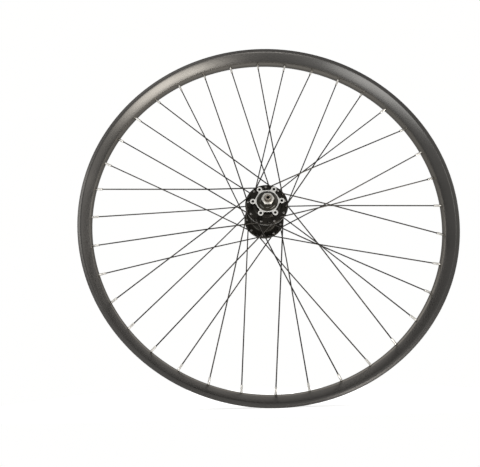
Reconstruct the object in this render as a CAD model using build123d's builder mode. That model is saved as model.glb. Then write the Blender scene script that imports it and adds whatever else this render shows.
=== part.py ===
# Front bicycle wheel for a disc brake: a double-walled rim laced to a six-bolt hub by J-bend spokes.
# The wheel's centre is the origin, the axle lies along Y with the disc side at -Y, and +Z is up.
import os
from math import cos, hypot, radians, sin, tan

from build123d import *

os.makedirs("parts", exist_ok=True)

# Lacing
spoke_count = 36
crosses = 3
rim_pitch = 360 / spoke_count
flange_pitch = 2 * rim_pitch
lace_angle = crosses * flange_pitch

# Rim section, as radii from the axle and half widths from the wheel's middle plane
rim_diameter = 596.0
rim_width = 40.0
rim_depth = 17.0
side_height = 5.5
side_radius = 3.0
lip_width = 2.4
bead_drop = 6.0
shelf_width = 6.0
well_drop = 3.4
well_slope_width = 4.4
bed_radius = 14.0
bed_angle = 32.0
bed_wall = 2.2
bridge_wall = 1.6
chamber_floor_width = 9.0
valve_hole_diameter = 8.5
drill_margin = 2.0

# Spokes and nipples
spoke_diameter = 2.0
elbow_radius = 2.4
weave_radius = 120.0
head_diameter = 3.8
head_height = 1.3
head_chamfer = 0.4
head_gap = 0.1
elbow_gap_outside = 1.3
elbow_gap_inside = 0.6
weave_gap = 0.2
nipple_diameter = 3.9
nipple_head_diameter = 5.8
nipple_head_height = 2.2
nipple_reach = 11.5
nipple_seat_gap = 0.6
nipple_hole_clearance = 0.45
thread_clearance = 0.06
access_hole_diameter = 8.0

# Hub shell, with axial places measured from the wheel's middle plane
over_locknut = 110.0
rotor_inset = 10.5
disc_flange_offset = 28.0
plain_flange_offset = 39.5
plain_face_offset = 45.0
flange_diameter = 67.0
flange_hole_inset = 4.5
flange_width = 3.2
flange_edge_taper = 0.7
flange_edge_width = 2.6
flange_root = 21.5
spoke_hole_diameter = 2.6
barrel_diameter = 28.0
barrel_taper = 8.0
neck_diameter = 35.6
neck_taper = 3.6

# Rotor mount
rotor_bolts = 6
rotor_bolt_circle = 44.0
rotor_tap_diameter = 4.2
ear_radius = 4.2
ear_neck = 5.4
ear_root = 9.0
ear_depth = 8.0
ear_overlap = 0.5

# Bearings, caps and axle
bearing_bore = 10.0
bearing_outside = 26.0
bearing_width = 8.0
inner_land = 14.0
outer_land = 22.4
ball_count = 7
ball_diameter = 4.76
race_clearance = 0.07
cage_width = 0.45
cage_height = 1.6
cage_gap = 0.1
finger_width = 2.4
finger_length = 2.6
seal_width = 0.6
seal_inset = 0.3
seal_clearance = 0.1
shaft_fit = 0.05
hub_bore = 22.0
cap_seat_depth = 4.0
cap_bore = 32.6
cap_fit = 0.05
cap_wall = 1.3
cap_rise = 4.6
cap_edge_inset = 0.5
cap_clearance = 0.5
spacer_diameter = 17.2
spacer_step = 2.0
locknut_flats = 17.0
locknut_blank_diameter = 21.0
locknut_width = 5.0
locknut_chamfer_diameter = 16.4
locknut_chamfer_angle = 30.0
locknut_recess_diameter = 12.6
locknut_recess_depth = 1.4
axle_collar_diameter = 13.0
axle_end_diameter = 9.0
axle_end_length = 4.5
skewer_bore = 5.2
skewer_chamfer = 0.5

# Places worked out from the sizes above
rim_outer = rim_diameter / 2
rim_bed = rim_outer - rim_depth
bead_seat = rim_outer - bead_drop
rim_half = rim_width / 2
channel_half = rim_half - lip_width
shelf_half = channel_half - shelf_width
well_half = shelf_half - well_slope_width
well_floor = bead_seat - well_drop
chamber_floor = rim_bed + bed_wall
bed_middle = rim_bed + bed_wall / 2
nipple_seat = bed_wall / 2 + nipple_seat_gap
nipple_shank = nipple_seat + nipple_reach
locknut_face = over_locknut / 2
rotor_face = locknut_face - rotor_inset
disc_bearing_face = rotor_face - cap_seat_depth - cap_fit
plain_bearing_face = plain_face_offset - cap_seat_depth - cap_fit
flange_half = flange_width / 2
hole_ring = flange_diameter / 2 - flange_hole_inset


def polar(radius, angle, axial):
    """A point at a radius and an axial place, with its angle clockwise from the top seen from -Y."""
    return Vector(radius * sin(radians(angle)), axial, radius * cos(radians(angle)))


def mirrored(half):
    """A closed outline from its +axial half, listed from one end of the middle line to the other."""
    return half + [(-axial, radius) for axial, radius in reversed(half)]


# Rim: a double-walled extrusion with a tyre channel, drilled for nipples and valve
bed_edge = bed_radius * sin(radians(bed_angle))
bed_edge_radius = rim_bed + bed_radius * (1 - cos(radians(bed_angle)))
bed_tangent = (cos(radians(bed_angle)), sin(radians(bed_angle)))
wall_foot = rim_outer - side_height
channel = [
    (rim_half, wall_foot),
    (rim_half, rim_outer),
    (channel_half, rim_outer),
    (channel_half, bead_seat),
    (shelf_half, bead_seat),
    (well_half, well_floor),
]
chamber_half = channel_half - lip_width - bridge_wall
chamber = [
    (chamber_floor_width / 2, chamber_floor),
    (chamber_half, bead_seat - bridge_wall),
    (shelf_half - bridge_wall / 2, bead_seat - bridge_wall),
    (well_half - bridge_wall / 2, well_floor - bridge_wall),
]
nipple_hole = nipple_diameter + 2 * nipple_hole_clearance
with BuildPart() as rim:
    with BuildSketch(Plane.YZ) as section:
        with BuildLine():
            Polyline(*mirrored(channel))
            TangentArc((bed_edge, bed_edge_radius), (rim_half, wall_foot), tangent=bed_tangent)
            ThreePointArc((-bed_edge, bed_edge_radius), (0, rim_bed), (bed_edge, bed_edge_radius))
            TangentArc(
                (-bed_edge, bed_edge_radius),
                (-rim_half, wall_foot),
                tangent=(-bed_tangent[0], bed_tangent[1]),
            )
        make_face()
        corners = section.vertices()
        side_feet = ((-rim_half, wall_foot), (rim_half, wall_foot))
        fillet([corners.sort_by_distance(foot)[0] for foot in side_feet], side_radius)
        with BuildLine():
            Polyline(*mirrored(chamber), close=True)
        make_face(mode=Mode.SUBTRACT)
    revolve(axis=Axis.Y)
    spoke_lines = [polar(1, index * rim_pitch, 0) for index in range(spoke_count)]
    drill_start = chamber_floor + drill_margin
    with BuildSketch(*[Plane(origin=out * drill_start, z_dir=-out) for out in spoke_lines]):
        Circle(nipple_hole / 2)
    extrude(amount=bed_wall + 2 * drill_margin, mode=Mode.SUBTRACT)
    drill_start = well_floor + drill_margin
    with BuildSketch(*[Plane(origin=out * drill_start, z_dir=-out) for out in spoke_lines]):
        Circle(access_hole_diameter / 2)
    extrude(amount=bridge_wall + 2 * drill_margin, mode=Mode.SUBTRACT)
    valve_line = polar(1, 180 - rim_pitch / 2, 0)
    with BuildSketch(Plane(origin=valve_line * (rim_bed - drill_margin), z_dir=valve_line)):
        Circle(valve_hole_diameter / 2)
    extrude(amount=rim_depth, mode=Mode.SUBTRACT)
rim.part.label = "rim"
export_step(rim.part, "parts/rim.step")


# Spokes: drawn wire with a head at the flange, an elbow and a woven outer crossing
def spoke_corners(index):
    """The spoke's centre line: the head's seat, the elbow, the outer crossing and the tip."""
    side = -1 if index % 2 == 0 else 1
    lean = 1 if index % 4 in (0, 3) else -1
    runs_outside = lean == -side
    flange_middle = disc_flange_offset if side < 0 else plain_flange_offset
    outside_place = flange_middle + flange_half + elbow_gap_outside + spoke_diameter / 2
    inside_place = flange_middle - flange_half - elbow_gap_inside - spoke_diameter / 2
    elbow_place = outside_place if runs_outside else inside_place
    head_sign = -1 if runs_outside else 1
    head_place = flange_middle + head_sign * (flange_half + head_gap)
    rim_angle = index * rim_pitch
    hub_angle = rim_angle + lean * lace_angle

    # The outer crossing lies midway between the rim holes of the two spokes that meet there
    rise = tan(radians(rim_pitch))
    hub_across = hole_ring * sin(radians(lace_angle))
    hub_along = hole_ring * cos(radians(lace_angle))
    share = bed_middle * rise / (hub_across + rise * (bed_middle - hub_along))
    crossing_radius = hypot(bed_middle + share * (hub_along - bed_middle), share * hub_across)
    weave = head_sign * (spoke_diameter + weave_gap) / 2
    crossing_place = share * (outside_place + inside_place) / 2 + weave

    head = polar(hole_ring, hub_angle, side * head_place)
    elbow = polar(hole_ring, hub_angle, side * elbow_place)
    crossing = polar(crossing_radius, rim_angle + lean * rim_pitch, side * crossing_place)
    rim_point = polar(bed_middle, rim_angle, 0)
    tip = rim_point + (rim_point - crossing).normalized() * nipple_seat
    return head, elbow, crossing, tip


for index in range(spoke_count):
    head, elbow, crossing, tip = spoke_corners(index)
    with BuildPart() as spoke:
        with BuildLine() as wire:
            FilletPolyline(head, elbow, crossing, tip, radius=[elbow_radius, weave_radius])
        with BuildSketch(Plane(origin=head, z_dir=elbow - head)):
            Circle(spoke_diameter / 2)
        sweep(path=wire.line)
        with BuildSketch(Plane(origin=head, z_dir=head - elbow)):
            Circle(head_diameter / 2)
        extrude(amount=head_height)
        head_top = head + (head - elbow).normalized() * head_height
        chamfer(spoke.faces().sort_by_distance(head_top)[0].edges(), head_chamfer)
    spoke.part.label = f"spoke_{index + 1:02d}"
    export_step(spoke.part, f"parts/{spoke.part.label}.step")

# Nipples: one on each spoke's end, seated in the rim's chamber and in line with its spoke
nipple_planes = []
for index in range(spoke_count):
    head, elbow, crossing, tip = spoke_corners(index)
    nipple_planes.append(Plane(origin=tip, z_dir=crossing - tip))
with BuildPart() as spoke_nipples:
    with BuildSketch(*nipple_planes):
        Circle(nipple_diameter / 2)
    extrude(amount=nipple_shank)
    with BuildSketch(*nipple_planes):
        Circle(nipple_head_diameter / 2)
    extrude(amount=-nipple_head_height)
    with BuildSketch(*[plane.offset(-nipple_head_height) for plane in nipple_planes]):
        Circle(spoke_diameter / 2 + thread_clearance)
    extrude(amount=nipple_head_height + nipple_shank, mode=Mode.SUBTRACT)
spoke_nipples.part.label = "spoke_nipples"
export_step(spoke_nipples.part, "parts/spoke_nipples.step")


# Hub shell: one forging with two drilled flanges, bearing seats, cap seats and the rotor's six ears
def flange_outline(middle, root):
    """The flange's outline beyond the root radius, from its -Y face to its +Y face."""
    edge = flange_diameter / 2
    taper_start = edge - flange_edge_width
    return [
        (middle - flange_half, root),
        (middle - flange_half, taper_start),
        (middle - flange_half + flange_edge_taper, edge),
        (middle + flange_half - flange_edge_taper, edge),
        (middle + flange_half, taper_start),
        (middle + flange_half, root),
    ]


neck = neck_diameter / 2
bearing_seat = bearing_outside / 2
disc_flange_face = disc_flange_offset + flange_half
plain_flange_face = plain_flange_offset + flange_half
outside = [
    (-rotor_face, neck),
    (-disc_flange_face - neck_taper, neck),
    *flange_outline(-disc_flange_offset, flange_root),
    (-disc_flange_offset + flange_half + barrel_taper, barrel_diameter / 2),
    (plain_flange_offset - flange_half - barrel_taper, barrel_diameter / 2),
    *flange_outline(plain_flange_offset, flange_root),
    (plain_flange_face + neck_taper, neck),
    (plain_face_offset, neck),
]
inside = [
    (plain_face_offset, cap_bore / 2),
    (plain_face_offset - cap_seat_depth, cap_bore / 2),
    (plain_face_offset - cap_seat_depth, bearing_seat),
    (plain_bearing_face - bearing_width, bearing_seat),
    (plain_bearing_face - bearing_width, hub_bore / 2),
    (-disc_bearing_face + bearing_width, hub_bore / 2),
    (-disc_bearing_face + bearing_width, bearing_seat),
    (-rotor_face + cap_seat_depth, bearing_seat),
    (-rotor_face + cap_seat_depth, cap_bore / 2),
    (-rotor_face, cap_bore / 2),
]


def cross_plane(axial):
    """A plane square to the axle, facing +Y, whose X is the wheel's X."""
    return Plane(origin=(0, axial, 0), x_dir=(1, 0, 0), z_dir=(0, 1, 0))


ear_start = neck - rotor_bolt_circle / 2 - ear_overlap
ear_profile = [
    (ear_start, -ear_root / 2),
    (-ear_radius / 2, -ear_neck / 2),
    (0, -ear_neck / 2),
    (0, ear_neck / 2),
    (-ear_radius / 2, ear_neck / 2),
    (ear_start, ear_root / 2),
]
with BuildPart() as hub_shell:
    with BuildSketch(Plane.YZ):
        with BuildLine():
            Polyline(*outside, *inside, close=True)
        make_face()
    revolve(axis=Axis.Y)
    with BuildSketch(cross_plane(-rotor_face)):
        with PolarLocations(rotor_bolt_circle / 2, rotor_bolts):
            Circle(ear_radius)
            Polygon(*ear_profile, align=None)
        Circle((cap_bore + neck_diameter) / 4, mode=Mode.SUBTRACT)
    extrude(amount=ear_depth)
    with BuildSketch(cross_plane(-rotor_face)):
        with PolarLocations(rotor_bolt_circle / 2, rotor_bolts):
            Circle(rotor_tap_diameter / 2)
    extrude(amount=ear_depth, mode=Mode.SUBTRACT)
    for axial, start in ((-disc_flange_face, -90), (plain_flange_offset - flange_half, rim_pitch - 90)):
        with BuildSketch(cross_plane(axial)):
            with PolarLocations(hole_ring, spoke_count // 2, start_angle=start):
                Circle(spoke_hole_diameter / 2)
        extrude(amount=flange_width, mode=Mode.SUBTRACT)
hub_shell.part.label = "hub_shell"
export_step(hub_shell.part, "parts/hub_shell.step")

# Bearings, dust caps, spacers and locknuts: one set at each end of the hub
pitch_radius = (bearing_bore + bearing_outside) / 4
race_radius = ball_diameter / 2 + race_clearance
for side_name, sign, bearing_face, hub_face in (
    ("disc_side", -1, disc_bearing_face, rotor_face),
    ("plain_side", 1, plain_bearing_face, plain_face_offset),
):
    bearing_middle = sign * (bearing_face - bearing_width / 2)
    ball_plane = cross_plane(bearing_middle)

    with BuildPart() as bearing_outer_ring:
        with BuildSketch(Plane.YZ):
            with Locations((bearing_middle, (outer_land + bearing_outside) / 4)):
                Rectangle(bearing_width, (bearing_outside - outer_land) / 2)
            with Locations((bearing_middle, pitch_radius)):
                Circle(race_radius, mode=Mode.SUBTRACT)
        revolve(axis=Axis.Y)
    bearing_outer_ring.part.label = f"bearing_outer_ring_{side_name}"
    export_step(bearing_outer_ring.part, f"parts/{bearing_outer_ring.part.label}.step")

    with BuildPart() as bearing_inner_ring:
        with BuildSketch(Plane.YZ):
            with Locations((bearing_middle, (bearing_bore + inner_land) / 4 + shaft_fit / 2)):
                Rectangle(bearing_width, (inner_land - bearing_bore) / 2 - shaft_fit)
            with Locations((bearing_middle, pitch_radius)):
                Circle(race_radius, mode=Mode.SUBTRACT)
        revolve(axis=Axis.Y)
    bearing_inner_ring.part.label = f"bearing_inner_ring_{side_name}"
    export_step(bearing_inner_ring.part, f"parts/{bearing_inner_ring.part.label}.step")

    with BuildPart() as bearing_seals:
        seal_offset = (bearing_width - seal_width) / 2 - seal_inset
        seal_inner = inner_land / 2 + seal_clearance
        with BuildSketch(Plane.YZ):
            for place in (bearing_middle - seal_offset, bearing_middle + seal_offset):
                with Locations((place, (seal_inner + outer_land / 2) / 2)):
                    Rectangle(seal_width, outer_land / 2 - seal_inner)
        revolve(axis=Axis.Y)
    bearing_seals.part.label = f"bearing_seals_{side_name}"
    export_step(bearing_seals.part, f"parts/{bearing_seals.part.label}.step")

    with BuildPart(ball_plane) as bearing_balls:
        with PolarLocations(pitch_radius, ball_count):
            Sphere(ball_diameter / 2)
    bearing_balls.part.label = f"bearing_balls_{side_name}"
    export_step(bearing_balls.part, f"parts/{bearing_balls.part.label}.step")

    cage_face = ball_diameter / 2 + cage_gap
    with BuildPart() as bearing_cage:
        with BuildSketch(ball_plane.offset(sign * cage_face)):
            Circle(pitch_radius + cage_height / 2)
            Circle(pitch_radius - cage_height / 2, mode=Mode.SUBTRACT)
        extrude(amount=sign * cage_width)
        with BuildSketch(ball_plane.offset(sign * cage_face)):
            with PolarLocations(pitch_radius, ball_count, start_angle=180 / ball_count):
                Rectangle(cage_height / 2, finger_width)
        extrude(amount=-sign * finger_length)
    bearing_cage.part.label = f"bearing_cage_{side_name}"
    export_step(bearing_cage.part, f"parts/{bearing_cage.part.label}.step")

    cap_outer = cap_bore / 2 - cap_fit
    cap_hole = spacer_diameter / 2 + cap_clearance
    cap_foot = hub_face - cap_seat_depth
    cap_edge = hub_face - cap_edge_inset
    cap_top = hub_face + cap_rise
    dome_middle = (cap_edge + cap_top) / 2 + cap_wall
    with BuildPart() as dust_cap:
        with BuildSketch(Plane.YZ):
            with BuildLine():
                Polyline(
                    (sign * cap_edge, cap_outer),
                    (sign * cap_foot, cap_outer),
                    (sign * cap_foot, cap_outer - cap_wall),
                    (sign * (cap_edge - cap_wall), cap_outer - cap_wall),
                )
                ThreePointArc(
                    (sign * (cap_edge - cap_wall), cap_outer - cap_wall),
                    (sign * (dome_middle - cap_wall), (cap_outer + cap_hole) / 2 - cap_wall / 2),
                    (sign * (cap_top - cap_wall), cap_hole),
                )
                Line((sign * (cap_top - cap_wall), cap_hole), (sign * cap_top, cap_hole))
                ThreePointArc(
                    (sign * cap_top, cap_hole),
                    (sign * dome_middle, (cap_outer + cap_hole) / 2 + cap_wall / 2),
                    (sign * cap_edge, cap_outer),
                )
            make_face()
        revolve(axis=Axis.Y)
    dust_cap.part.label = f"dust_cap_{side_name}"
    export_step(dust_cap.part, f"parts/{dust_cap.part.label}.step")

    spacer_bore = bearing_bore / 2 + shaft_fit
    spacer_top = locknut_face - locknut_width
    with BuildPart() as spacer:
        with BuildSketch(Plane.YZ):
            with BuildLine():
                Polyline(
                    (sign * bearing_face, spacer_bore),
                    (sign * bearing_face, inner_land / 2),
                    (sign * (bearing_face + spacer_step), inner_land / 2),
                    (sign * (bearing_face + spacer_step), spacer_diameter / 2),
                    (sign * spacer_top, spacer_diameter / 2),
                    (sign * spacer_top, spacer_bore),
                    close=True,
                )
            make_face()
        revolve(axis=Axis.Y)
    spacer.part.label = f"axle_spacer_{side_name}"
    export_step(spacer.part, f"parts/{spacer.part.label}.step")

    blank = locknut_blank_diameter / 2
    chamfer_inner = locknut_chamfer_diameter / 2
    chamfer_drop = (blank - chamfer_inner) * tan(radians(locknut_chamfer_angle))
    chamfer_outline = [
        (sign * spacer_top, 0),
        (sign * spacer_top, blank),
        (sign * (locknut_face - chamfer_drop), blank),
        (sign * locknut_face, chamfer_inner),
        (sign * locknut_face, 0),
    ]
    with BuildPart() as locknut:
        with BuildSketch(cross_plane(sign * spacer_top)):
            RegularPolygon(locknut_flats / 2, 6, major_radius=False)
            Circle(spacer_bore, mode=Mode.SUBTRACT)
        extrude(amount=sign * locknut_width)
        with BuildSketch(cross_plane(sign * locknut_face)):
            Circle(locknut_recess_diameter / 2)
        extrude(amount=-sign * locknut_recess_depth, mode=Mode.SUBTRACT)
        with BuildSketch(Plane.YZ):
            with BuildLine():
                Polyline(*chamfer_outline, close=True)
            make_face()
        revolve(axis=Axis.Y, mode=Mode.INTERSECT)
    locknut.part.label = f"locknut_{side_name}"
    export_step(locknut.part, f"parts/{locknut.part.label}.step")

# Axle: a hollow shaft with a collar between the bearings and slim ends for the fork's slots
thread_end = locknut_face - locknut_recess_depth
axle_end = locknut_face + axle_end_length
axle_outline = [
    (-axle_end, axle_end_diameter / 2),
    (-thread_end, axle_end_diameter / 2),
    (-thread_end, bearing_bore / 2),
    (-disc_bearing_face + bearing_width, bearing_bore / 2),
    (-disc_bearing_face + bearing_width, axle_collar_diameter / 2),
    (plain_bearing_face - bearing_width, axle_collar_diameter / 2),
    (plain_bearing_face - bearing_width, bearing_bore / 2),
    (thread_end, bearing_bore / 2),
    (thread_end, axle_end_diameter / 2),
    (axle_end, axle_end_diameter / 2),
    (axle_end, skewer_bore / 2),
    (-axle_end, skewer_bore / 2),
]
with BuildPart() as axle:
    with BuildSketch(Plane.YZ):
        with BuildLine():
            Polyline(*axle_outline, close=True)
        make_face()
    revolve(axis=Axis.Y)
    end_edges = axle.edges().filter_by(GeomType.CIRCLE).group_by(Axis.Y)
    chamfer(end_edges[0] + end_edges[-1], skewer_chamfer)
axle.part.label = "axle"
export_step(axle.part, "parts/axle.step")
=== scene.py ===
from math import cos, hypot, pi, radians, sin, tan

import bmesh
import bpy
from bpy.props import FloatProperty, FloatVectorProperty, IntProperty, PointerProperty
from mathutils import Matrix, Vector


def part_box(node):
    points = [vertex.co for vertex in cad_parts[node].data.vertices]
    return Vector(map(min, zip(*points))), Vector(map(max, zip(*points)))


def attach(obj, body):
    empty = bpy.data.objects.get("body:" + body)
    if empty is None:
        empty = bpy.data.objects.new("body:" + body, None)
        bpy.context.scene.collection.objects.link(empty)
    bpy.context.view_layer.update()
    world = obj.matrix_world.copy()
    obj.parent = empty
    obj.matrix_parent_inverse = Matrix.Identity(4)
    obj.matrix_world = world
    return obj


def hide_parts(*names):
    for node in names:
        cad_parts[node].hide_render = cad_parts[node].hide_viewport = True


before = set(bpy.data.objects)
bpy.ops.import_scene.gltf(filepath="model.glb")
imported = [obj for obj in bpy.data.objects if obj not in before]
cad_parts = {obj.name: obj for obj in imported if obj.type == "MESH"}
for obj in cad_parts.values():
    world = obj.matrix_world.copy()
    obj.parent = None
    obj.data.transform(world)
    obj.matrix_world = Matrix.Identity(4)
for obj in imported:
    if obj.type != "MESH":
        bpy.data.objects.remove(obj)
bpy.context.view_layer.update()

bl_info = {
    "name": "Front Disc Wheel",
    "version": (1, 0, 0),
    "blender": (4, 5, 0),
    "location": "3D View > Sidebar > Wheel",
    "description": "Dresses the frame of a front wheel: rim, spokes, nipples, hub, caps, nuts and axle",
    "category": "Object",
}

# The hub's two ends, and which way each lies along the axle
SIDES = (("disc_side", -1), ("plain_side", 1))

# The lacing repeats after this many spokes
LACINGS = 4

# Ears for the rotor's bolts
EARS = 6

# Points closer than this are one point
SAME_POINT = 1e-6


def length(name, description, default):
    """A size that a user may change, in metres."""
    kind = {"min": 0.0, "precision": 5, "subtype": "DISTANCE", "unit": "LENGTH"}
    return FloatProperty(name=name, description=description, default=default, **kind)


def tint(name, description, default):
    """A colour that a user may change."""
    kind = {"min": 0.0, "max": 1.0, "size": 3, "subtype": "COLOR"}
    return FloatVectorProperty(name=name, description=description, default=default, **kind)


class RimSizes(bpy.types.PropertyGroup):
    """Sizes of the rim's section."""

    outer: length("Outer radius", "Radius to the rim's lips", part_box("rim")[1].z)
    half_width: length("Half width", "Middle plane to a lip's outer face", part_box("rim")[1].y)
    bed: length("Bed radius", "Smallest radius, where the nipples come out", 0.281)
    bed_curve: length("Bed curve", "Radius of the bed's curve across the rim", 0.014)
    bed_half_angle: FloatProperty(
        name="Bed angle", description="Half of the bed's curve", default=radians(32), subtype="ANGLE"
    )
    side_height: length("Side height", "Height of the flat side below the lip", 0.0055)
    side_round: length("Side rounding", "Radius between the flat side and the sloping face", 0.003)
    lip: length("Lip width", "Thickness of the lip", 0.0024)
    bead_drop: length("Bead drop", "From the lip down to the bead seat", 0.006)
    shelf: length("Bead shelf", "Width of the bead seat", 0.006)
    well_drop: length("Well drop", "From the bead seat down to the well", 0.0034)
    well_slope: length("Well slope", "Width of the slope into the well", 0.0044)
    bed_wall: length("Bed wall", "Thickness of the wall at the nipples", 0.0022)
    bridge_wall: length("Bridge wall", "Thickness of the wall under the tyre", 0.0016)
    chamber_floor: length("Chamber floor", "Width of the chamber's floor", 0.009)
    nipple_hole: length("Nipple hole", "Radius of the holes for the nipples", 0.0024)
    access_hole: length("Access hole", "Radius of the holes over the nipples", 0.004)
    valve_hole: length("Valve hole", "Radius of the valve's hole", 0.00425)
    edge: length("Edge rounding", "Rounding of the extrusion's edges", 0.0005)
    steps: IntProperty(name="Steps", description="Facets round the rim", default=252, min=36)


class SpokeSizes(bpy.types.PropertyGroup):
    """Sizes of the spokes and their nipples."""

    count: IntProperty(name="Spokes", description="Number of spokes", default=36, min=4)
    crosses: IntProperty(name="Crosses", description="Spokes that each spoke crosses", default=3, min=1)
    wire: length("Wire radius", "Radius of the drawn wire", 0.001)
    elbow: length("Elbow radius", "Bend at the flange", 0.0024)
    weave: length("Weave radius", "Bend at the outer crossing", 0.12)
    head: length("Head radius", "Radius of the head", 0.0019)
    head_height: length("Head height", "Height of the head", 0.0013)
    head_gap: length("Head gap", "Between the head and its flange", 0.0001)
    gap_outside: length("Gap outside", "Between flange and wire, outside", 0.0013)
    gap_inside: length("Gap inside", "Between flange and wire, inside", 0.0006)
    weave_gap: length("Weave gap", "Between two wires at their crossing", 0.0002)
    nipple: length("Nipple radius", "Radius of the nipple's shank", 0.00195)
    nipple_head: length("Nipple head", "Radius of the nipple's head", 0.0029)
    nipple_head_height: length("Nipple head height", "Height of the nipple's head", 0.0022)
    nipple_flats: length("Nipple flats", "Half width across the nipple's flats", 0.00163)
    nipple_reach: length("Nipple reach", "Shank below the middle of the bed's wall", 0.0115)
    seat_gap: length("Seat gap", "Between the nipple's head and its seat", 0.0006)


class HubSizes(bpy.types.PropertyGroup):
    """Sizes of the hub, its caps, nuts and axle."""

    rotor_face: length("Rotor face", "Middle plane to the rotor's face", 0.0445)
    plain_face: length("Plain face", "Middle plane to the other end", 0.045)
    disc_flange: length("Disc flange", "Middle plane to the disc side's flange", 0.028)
    plain_flange: length("Plain flange", "Middle plane to the other flange", 0.0395)
    flange: length("Flange radius", "Radius of the flanges", 0.0335)
    flange_half: length("Flange half width", "Half of a flange's thickness", 0.0016)
    hole_ring: length("Hole ring", "Radius of the ring of spoke holes", 0.029)
    spoke_hole: length("Spoke hole", "Radius of a spoke hole", 0.0013)
    barrel: length("Barrel radius", "Radius of the barrel", 0.014)
    neck: length("Neck radius", "Radius outside the bearings", 0.0178)
    cap_bore: length("Cap bore", "Radius of the dust cap's seat", 0.0163)
    bearing_seat: length("Bearing seat", "Radius of the bearing's seat", 0.013)
    bearing_depth: length("Bearing depth", "Depth of the bearing's seat", 0.00805)
    bore: length("Bore", "Radius of the bore between the bearings", 0.011)
    bolt_ring: length("Bolt ring", "Radius of the rotor's bolt circle", 0.022)
    tap: length("Bolt hole", "Radius of the rotor's bolt holes", 0.0021)
    ear: length("Ear radius", "Radius of an ear's round end", 0.0042)
    ear_neck: length("Ear neck", "Half width of an ear behind its round end", 0.0030)
    ear_root: length("Ear root", "Half width of an ear at the hub", 0.0056)
    ear_depth: length("Ear depth", "Depth of the ears along the axle", 0.008)
    cap_seat: length("Cap seat", "Depth of the cap in the hub", 0.004)
    cap_rise: length("Cap rise", "Height of the cap's dome", 0.0046)
    cap_hole: length("Cap hole", "Radius of the cap's hole", 0.0091)
    nut_face: length("Nut face", "Middle plane to a locknut's face", 0.055)
    nut_width: length("Nut width", "Width of a locknut", 0.005)
    nut_flat: length("Nut flats", "Half width across a locknut's flats", 0.0085)
    nut_recess: length("Nut recess", "Radius of the recess round the axle", 0.0063)
    nut_recess_depth: length("Nut recess depth", "Depth of the recess round the axle", 0.0014)
    axle: length("Axle radius", "Radius of the axle in the nut", 0.005)
    axle_end: length("Axle end radius", "Radius of the axle's slim end", 0.0045)
    axle_tip: length("Axle tip", "Middle plane to the axle's tip", 0.0595)
    skewer: length("Skewer bore", "Radius of the bore through the axle", 0.0026)


class WheelColours(bpy.types.PropertyGroup):
    """Colours of the wheel's finishes."""

    rim: tint("Rim", "Dark satin anodising", (0.0535, 0.0510, 0.0480))
    rim_worn: tint("Rim lighter", "Lighter drifts in the anodising", (0.0630, 0.0600, 0.0565))
    # Paler tone on the bed's curve: a painted highlight that stands in for light reflected there
    rim_bed_painted_sheen: tint("Rim bed", "Paler anodising on the bed's curve", (0.108, 0.101, 0.091))
    wire: tint("Spokes", "Blackened wire", (0.016, 0.0155, 0.015))
    wire_brown: tint("Spokes, brown", "Brown cast where the black is thin", (0.050, 0.045, 0.039))
    wire_head: tint("Spoke heads", "Steel that shows through on the heads", (0.16, 0.152, 0.143))
    nickel: tint("Nipples", "Bright plate", (0.50, 0.482, 0.45))
    hub: tint("Hub", "Gloss black", (0.0050, 0.0044, 0.0036))
    hub_edge: tint("Flange edges", "Satin where the black is thin", (0.095, 0.091, 0.083))
    machined: tint("Machined ring", "Bright turned alloy", (0.51, 0.50, 0.475))
    cap: tint("Dust cap", "Polished black", (0.008, 0.007, 0.0045))
    nut: tint("Locknut", "Plated steel", (0.38, 0.365, 0.335))
    axle: tint("Axle", "Turned steel, oiled", (0.17, 0.15, 0.125))
    bearing: tint("Bearing", "Ground steel", (0.70, 0.70, 0.70))
    rubber: tint("Seals", "Black rubber", (0.015, 0.015, 0.015))
    cage: tint("Cage", "Moulded cage", (0.70, 0.62, 0.48))
    spacer: tint("Spacers", "Black anodised alloy", (0.02, 0.02, 0.02))


# Selecting and shaping


def deselect():
    """Leaves edit mode with nothing selected."""
    if bpy.context.object and bpy.context.object.mode != "OBJECT":
        bpy.ops.object.mode_set(mode="OBJECT")
    bpy.ops.object.select_all(action="DESELECT")


def choose(*pieces):
    """Selects these pieces alone, the first one active."""
    deselect()
    for piece in pieces:
        piece.select_set(True)
    bpy.context.view_layer.objects.active = pieces[0]


def named(piece, name):
    piece.name = name
    piece.data.name = name
    return piece


def settle():
    """Puts the chosen piece's place, turn and size into its mesh."""
    bpy.ops.object.transform_apply(location=True, rotation=True, scale=True)


def polar(radius, angle, axial):
    """A point at an angle in degrees, clockwise from the top seen from the disc side."""
    return Vector((radius * sin(radians(angle)), axial, radius * cos(radians(angle))))


def mirrored(corners):
    """The other half of a section's corners, in the order that goes on round it."""
    return [(-axial, radius, rounding) for axial, radius, rounding in reversed(corners)]


def rounded(corners, segments=4):
    """An outline of (axial, radius) from corners of (axial, radius, rounding)."""
    outline = []
    for index, (axial, radius, rounding) in enumerate(corners):
        here = Vector((axial, radius))
        if rounding == 0:
            outline.append(here)
            continue
        before = Vector(corners[index - 1][:2]) - here
        after = Vector(corners[(index + 1) % len(corners)][:2]) - here
        half = before.angle(after) / 2
        reach = rounding / tan(half)
        middle = here + (before.normalized() + after.normalized()).normalized() * (rounding / sin(half))
        first = here + before.normalized() * reach - middle
        last = here + after.normalized() * reach - middle
        for step in range(segments + 1):
            outline.append(middle + first.slerp(last, step / segments) * rounding)
    return outline


def open_up():
    """Enters edit mode with all of the active piece selected."""
    bpy.ops.object.mode_set(mode="EDIT")
    bpy.ops.mesh.select_mode(type="VERT")
    bpy.ops.mesh.select_all(action="SELECT")


def close_up():
    """Turns all faces outward and leaves edit mode."""
    bpy.ops.mesh.select_all(action="SELECT")
    bpy.ops.mesh.normals_make_consistent(inside=False)
    bpy.ops.object.mode_set(mode="OBJECT")


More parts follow.
